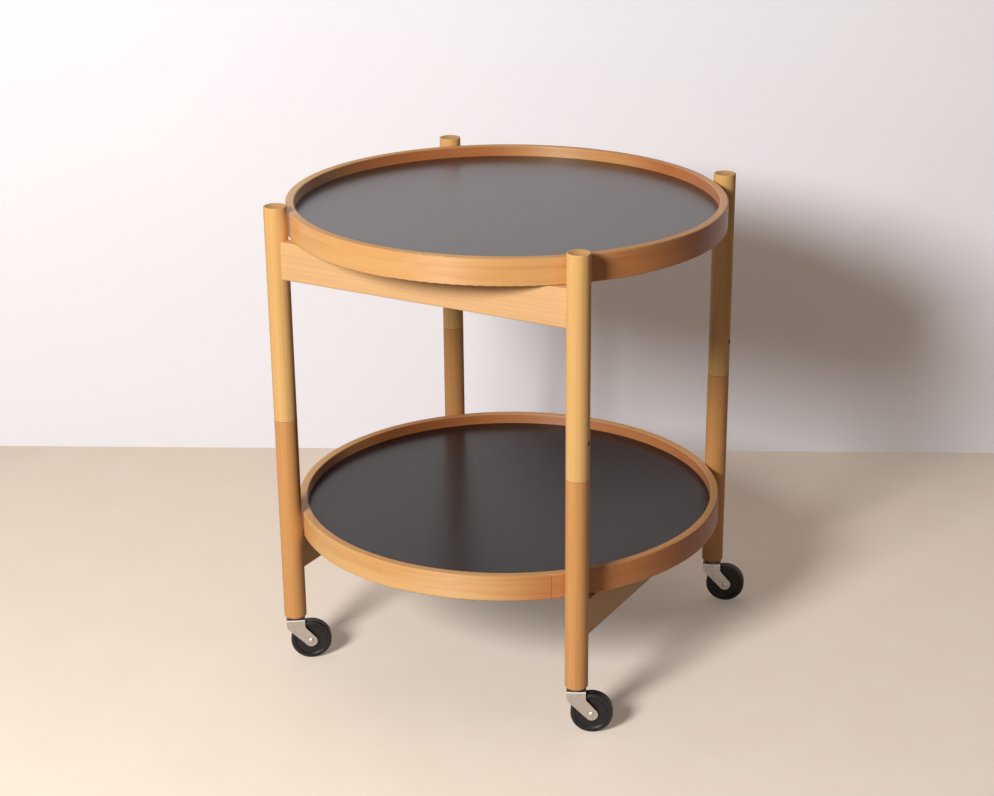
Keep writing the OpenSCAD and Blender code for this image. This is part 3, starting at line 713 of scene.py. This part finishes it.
# %% [markdown]
# ## The corner of the studio
#
# A beige floor meets a white wall close behind the table. The wall matters, because the laminate
# mirrors it and the table's shadow falls on it. Both are one-sided: seen from behind or below they
# let everything through, so the table can be looked at from all round. A real set would roll the
# wall away. Far out both are painted darker, a painted shade for the lamp's light that is kept off
# there, so that the floor near the lamp isn't burnt out in a view from behind.
#
# In a big pale room light wanders off and doesn't come back, while two bare sheets would throw it
# all at the table and colour its shade sides. So bounced light meets a darker floor and wall than
# the eye does. What the eye sees in the shadows is lifted by a faint glow that lights nothing.

# %% Build the floor and the wall
WALL_BEHIND, WALL_TURN = 0.670, math.radians(-0.87)
FLOOR_SIZE, WALL_HEIGHT = 12.0, 3.2

def flat_sheet(name, width, height, turn, place):
    sheet = bmesh.new()
    bmesh.ops.create_grid(sheet, x_segments=1, y_segments=1, size=0.5)
    bmesh.ops.scale(sheet, verts=sheet.verts, vec=(width, height, 1))
    bmesh.ops.rotate(sheet, verts=sheet.verts, matrix=turn)
    bmesh.ops.translate(sheet, verts=sheet.verts, vec=place)
    mesh = bpy.data.meshes.new(name)
    sheet.to_mesh(mesh)
    sheet.free()
    made = bpy.data.objects.new(name, mesh)
    bpy.context.scene.collection.objects.link(made)
    return made

foot_of_wall = Vector((table_centre.x, table_centre.y, 0)) + level_view * WALL_BEHIND
facing_wall = Matrix((level_right, Vector((0, 0, 1)), -level_view)).transposed()
floor = flat_sheet("studio_floor", FLOOR_SIZE, FLOOR_SIZE, Matrix.Identity(3), (0, 0, 0))
wall = flat_sheet("studio_wall", FLOOR_SIZE, WALL_HEIGHT,
                  Matrix.Rotation(-WALL_TURN, 3, "Z") @ facing_wall,
                  foot_of_wall + Vector((0, 0, WALL_HEIGHT / 2)))
print("wall stands", round(foot_of_wall.length, 3), "m from the table's middle")

# %% [markdown]
# ## What the eye sees and what the light meets
#
# A Light Path node tells what kind of ray meets the sheet. For rays from the camera, and for those
# mirrored in the laminate or the steel, the sheet has its own pale colour and a faint glow. For
# light on its way from one surface to the next it has the darker colour.

# %% Make a finish for floor and wall
def seen_directly(tree):
    """1 for what the camera sees, itself or in a gloss or glass, and 0 for bounced light."""
    ray = node(tree, "LightPath").outputs
    return sum_of(tree, "ADD", ray["Is Camera Ray"], sum_of(
        tree, "ADD", ray["Is Glossy Ray"], ray["Is Transmission Ray"]), clamp=True)

FAR_PAINTED_SHADE = (0.34, 0.34, 0.34, 1)

def finish_stage(name, first, second, thrown_back, glow, patch_size, roughness, shaded):
    """thrown_back is the colour for bounced light, glow what lifts the shadows to the eye only,
    shaded the two distances between which the sheet grows darker."""
    material, tree, shader = new_finish(name, Roughness=roughness, Specular_IOR_Level=0.2,
                                        Emission_Color=glow)
    seen = seen_directly(tree)
    feed(tree, shader.inputs["Emission Strength"], seen)
    where = node(tree, "TexCoord").outputs["Object"]
    cloud = node(tree, "TexNoise", {"Vector": where, "Scale": 1 / patch_size, "Detail": 6.0,
                                    "Roughness": 0.6}).outputs[0]
    seen_colour = blend_colour(tree, step_up(tree, cloud, 0.3, 0.7), first, second)
    from_table = node(tree, "VectorMath", {0: where}, operation="LENGTH").outputs["Value"]
    # Painted shade: far from the table the sheet is darker, for light kept off there.
    seen_colour = tinted(tree, step_up(tree, from_table, *shaded), seen_colour, FAR_PAINTED_SHADE)
    feed(tree, shader.inputs["Base Color"], blend_colour(tree, seen, thrown_back, seen_colour))
    feed(tree, shader.inputs["Normal"], node(tree, "Bump", {
        "Strength": 0.1, "Distance": 0.5 * MM, "Height": cloud}).outputs[0])
    behind = node(tree, "NewGeometry").outputs["Backfacing"]
    one_sided = node(tree, "MixShader", {0: behind, 1: shader.outputs[0],
                                         2: node(tree, "BsdfTransparent").outputs[0]})
    tree.links.new(one_sided.outputs[0], tree.nodes["Material Output"].inputs["Surface"])
    return material

# %% Finish the floor and the wall
floor_finish = finish_stage(
    "beige floor", first=(0.865, 0.755, 0.642, 1), second=(0.895, 0.79, 0.685, 1),
    thrown_back=(0.38, 0.29, 0.21, 1), glow=(0.163, 0.137, 0.115, 1), patch_size=0.12,
    roughness=0.6, shaded=(0.9, 2.0))
wall_finish = finish_stage(
    "white wall", first=(0.935, 0.93, 0.975, 1), second=(0.945, 0.945, 0.985, 1),
    thrown_back=(0.44, 0.37, 0.33, 1), glow=(0.112, 0.091, 0.083, 1), patch_size=0.4,
    roughness=0.8, shaded=(1.4, 2.6))
floor.data.materials.append(floor_finish)
wall.data.materials.append(wall_finish)
print("stage:", floor_finish.name, "and", wall_finish.name)

# %% [markdown]
# ## The light
#
# One lamp stands behind the camera's left shoulder, a little above it, and throws the long soft
# shadow to the right. A wide warm panel overhead and the room itself fill in. A lamp's power is
# worked out from its distance, so that each level below is a share of full light: at one, a colour
# shows as it is written.
#
# The room has three answers to a ray: white to the camera, half as bright in a gloss, and dim and
# warm as a source of light, as if wood and walls stood all round.

# %% Hang the lamps
def lamp(name, left_of_view, elevation, distance, size, level, colour=(1, 1, 1)):
    """An area lamp aimed at the table, placed by its angles from the camera's own direction."""
    heading = CAMERA_YAW + math.pi - math.radians(left_of_view)
    rise = math.radians(elevation)
    towards = Vector((math.cos(heading) * math.cos(rise), math.sin(heading) * math.cos(rise),
                      math.sin(rise)))
    data = bpy.data.lights.new(name, "AREA")
    data.shape, data.size = "DISK", size
    data.energy = level * math.pi ** 2 * distance ** 2
    data.color = colour
    made = bpy.data.objects.new(name, data)
    made.location = table_centre + towards * distance
    made.rotation_mode = "QUATERNION"
    made.rotation_quaternion = towards.to_track_quat("Z", "Y")
    bpy.context.scene.collection.objects.link(made)
    return made

key_lamp = lamp("key_lamp", left_of_view=28.6, elevation=28.0, distance=3.3, size=0.88,
                level=1.045)
overhead_panel = lamp("overhead_panel", left_of_view=0, elevation=88, distance=2.4, size=2.2,
                      level=0.075, colour=(1.0, 0.81, 0.68))
for hung in (key_lamp, overhead_panel):
    print(hung.name, "hangs", round(hung.location.z, 2), "m up, at", round(hung.data.energy), "W")

# %% Light the room
ROOM_LEVEL, MIRRORED_LEVEL = 0.035, 0.5
ROOM_SEEN, ROOM_WARMTH = (0.93, 0.91, 0.92, 1), (1.0, 0.75, 0.56, 1)

world = bpy.data.worlds.new("white room")
bpy.context.scene.world = world
world.use_nodes = True
tree = world.node_tree
ray = node(tree, "LightPath").outputs
mirrored = sum_of(tree, "ADD", ray["Is Glossy Ray"], ray["Is Transmission Ray"], clamp=True)
background = tree.nodes["Background"]
feed(tree, background.inputs["Color"], blend_colour(
    tree, seen_directly(tree), ROOM_WARMTH, ROOM_SEEN))
feed(tree, background.inputs["Strength"], sum_of(
    tree, "MULTIPLY_ADD", ray["Is Camera Ray"], 1.0 - ROOM_LEVEL,
    sum_of(tree, "MULTIPLY_ADD", mirrored, MIRRORED_LEVEL - ROOM_LEVEL, ROOM_LEVEL)))
print("room level", ROOM_LEVEL, "as light and", MIRRORED_LEVEL, "in a gloss")
